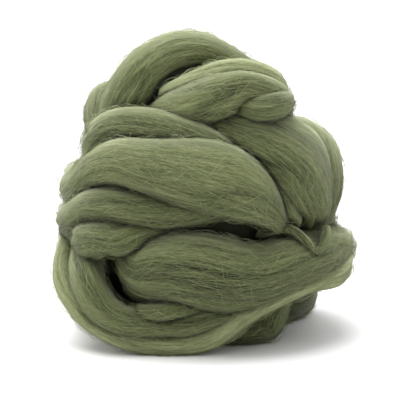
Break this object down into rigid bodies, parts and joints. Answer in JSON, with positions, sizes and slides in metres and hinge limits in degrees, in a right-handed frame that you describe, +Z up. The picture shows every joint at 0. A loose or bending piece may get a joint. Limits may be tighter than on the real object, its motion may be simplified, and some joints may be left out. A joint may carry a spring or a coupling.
{
  "type": "wool roving nest",
  "caption": "Soft unspun wool roving folded over and over itself and tucked into a loose, rounded nest with two loops on top, standing on a small flat spot.",
  "frame": {"origin": "on the surface that the nest stands on, under the middle of its bounding box", "axes": "+Z up, -Y towards the viewer of the side with the broad band and the low belly, +X to that viewer's right"},
  "size_m": [0.1635, 0.1584, 0.1655],
  "materials": {
    "wool": "soft matte combed wool with a faint sheen along the fibres and a light fuzz"
  },
  "bodies": {
    "root": {"roving": "wool"}
  },
  "joints": []
}
